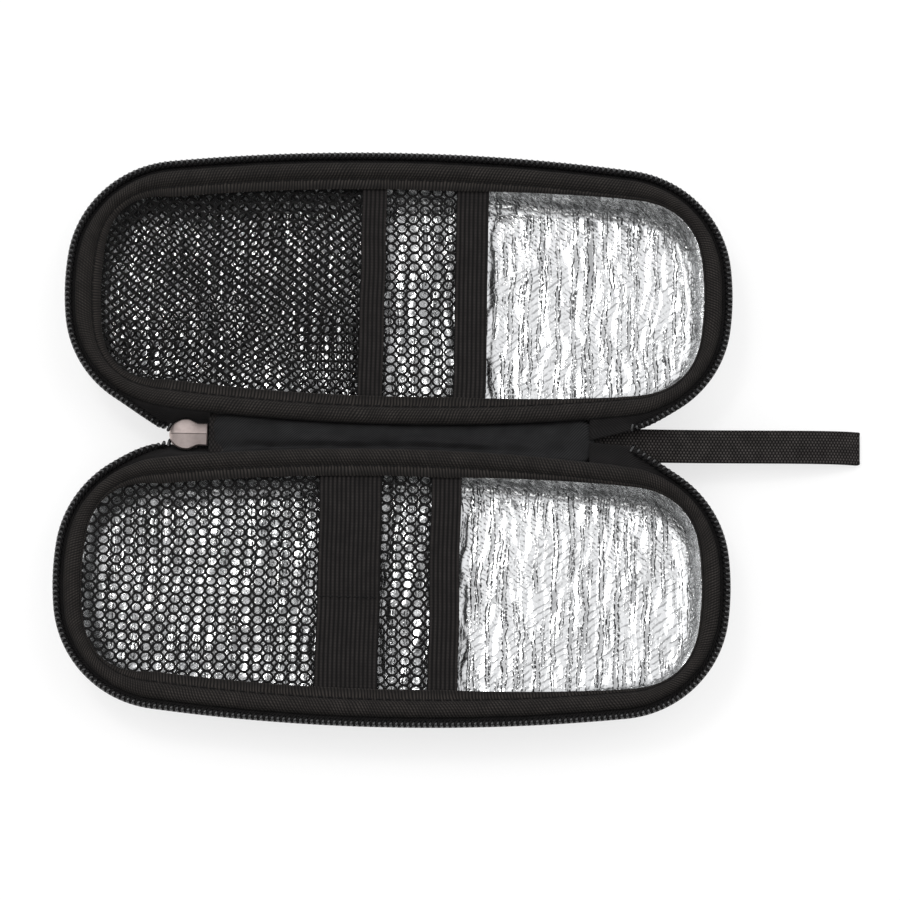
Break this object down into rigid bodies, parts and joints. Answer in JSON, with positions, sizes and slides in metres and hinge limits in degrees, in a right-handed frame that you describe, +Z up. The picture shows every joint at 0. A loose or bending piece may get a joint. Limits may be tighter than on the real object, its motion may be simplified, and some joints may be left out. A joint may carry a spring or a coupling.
{
  "type": "insulin cooling case",
  "caption": "Zipped clamshell cooling case, open flat: foil-lined insulated halves with mesh pockets and elastic straps, joined by a fabric spine, with a zip slider and wrist loop.",
  "frame": {"origin": "centre of the base half's flat underside", "axes": "+X along the spine towards the wrist strap, +Y from the base half across the spine to the lid half, +Z up out of the open halves"},
  "size_m": [0.2391, 0.1744, 0.021],
  "materials": {
    "woven_cover": "black woven polyester on moulded foam sheet",
    "foam": "closed-cell insulating foam",
    "foil": "crinkled bright aluminium film",
    "binding": "black grosgrain binding, ribbed across its length",
    "zip_tape": "black woven zip tape",
    "nylon_coil": "black nylon monofilament coil",
    "netting": "black warp-knit mesh",
    "elastic": "black ribbed woven elastic",
    "satin_lining": "black satin twill",
    "nickel_plate": "tumbled nickel-plated zinc",
    "webbing": "black narrow woven webbing"
  },
  "bodies": {
    "base": {"base_shell": "woven_cover", "base_foam": "foam", "base_foil_lining": "foil", "base_rim_binding": "binding", "base_zip_tape": "zip_tape", "base_zip_coil": "nylon_coil", "base_mesh_pocket": "netting", "base_pocket_hem": "elastic", "base_pen_strap": "elastic"},
    "spine": {"spine_gusset": "woven_cover", "spine_lining": "satin_lining", "zip_tail": "nylon_coil"},
    "lid": {"lid_shell": "woven_cover", "lid_foam": "foam", "lid_foil_lining": "foil", "lid_rim_binding": "binding", "lid_zip_tape": "zip_tape", "lid_zip_coil": "nylon_coil", "lid_mesh_pocket": "netting", "lid_pocket_hem": "elastic", "lid_pen_strap": "elastic"},
    "slider": {"zip_slider": "nickel_plate"},
    "pull_tab": {"zip_pull_tab": "nickel_plate"},
    "strap": {"wrist_strap": "webbing"}
  },
  "joints": [
    {"name": "spine_fold", "type": "hinge", "parent": "base", "child": "spine", "pos_m": [0, 0.04, 0.018], "axis": [1, 0, 0], "range_deg": [0, 90]},
    {"name": "lid_fold", "type": "hinge", "parent": "spine", "child": "lid", "pos_m": [0, 0.048, 0.018], "axis": [1, 0, 0], "range_deg": [0, 90]},
    {"name": "zip_slide", "type": "slide", "parent": "spine", "child": "slider", "axis": [1, 0, 0], "range_m": [-0.003, 0]},
    {"name": "pull_swing", "type": "hinge", "parent": "slider", "child": "pull_tab", "pos_m": [-0.06143, 0.044, 0.01], "axis": [0, 1, 0], "range_deg": [-15, 150]},
    {"name": "strap_swing", "type": "hinge", "parent": "spine", "child": "strap", "pos_m": [0.0602, 0.044, 0.0146], "axis": [0, 1, 0], "range_deg": [-8, 75]}
  ],
  "couplings": [
    {"joint": "lid_fold", "follows": "spine_fold", "ratio": 1}
  ]
}
